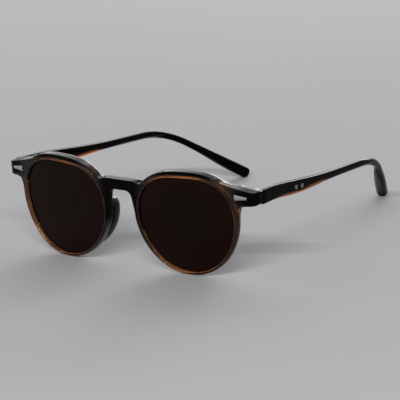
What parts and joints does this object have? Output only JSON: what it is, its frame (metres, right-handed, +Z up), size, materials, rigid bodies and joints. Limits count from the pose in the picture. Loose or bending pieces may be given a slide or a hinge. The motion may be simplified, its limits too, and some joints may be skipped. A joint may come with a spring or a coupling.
{
  "type": "round sunglasses",
  "caption": "Round sunglasses with a bent acetate front, dark lenses in grooved rims, barrel hinges and slim wired acetate temples that fold behind the front.",
  "frame": {"origin": "level surface under the open sunglasses, below the middle of the bridge at the face of the front", "axes": "+X towards the side of the right-hand model nodes, +Y back along the open temples, +Z up"},
  "size_m": [0.1422, 0.1461, 0.0478],
  "materials": {
    "acetate": "polished dark brown translucent acetate",
    "acetate_pad": "polished brown translucent acetate",
    "lens": "dark brown tint",
    "plaque_metal": "polished",
    "hinge_metal": "satin"
  },
  "bodies": {
    "front": {"front_frame": "acetate", "lens_left": "lens", "lens_right": "lens", "nose_pad_left": "acetate_pad", "nose_pad_right": "acetate_pad", "front_plaque_left": "plaque_metal", "front_plaque_right": "plaque_metal", "front_hinge_leaf_left": "hinge_metal", "front_hinge_leaf_right": "hinge_metal", "hinge_screw_left": "hinge_metal", "hinge_screw_right": "hinge_metal"},
    "temple_left": {"temple_left": "acetate", "temple_hinge_leaf_left": "hinge_metal", "core_wire_left": "hinge_metal", "temple_rivets_left": "plaque_metal"},
    "temple_right": {"temple_right": "acetate", "temple_hinge_leaf_right": "hinge_metal", "core_wire_right": "hinge_metal", "temple_rivets_right": "plaque_metal"}
  },
  "joints": [
    {"name": "fold_right", "type": "hinge", "parent": "front", "child": "temple_right", "pos_m": [0.0662, 0.01392, 0.0372], "axis": [0, 0, 1], "range_deg": [0, 80]},
    {"name": "fold_left", "type": "hinge", "parent": "front", "child": "temple_left", "pos_m": [-0.0662, 0.01392, 0.0372], "axis": [0, 0, -1], "range_deg": [0, 70]}
  ]
}
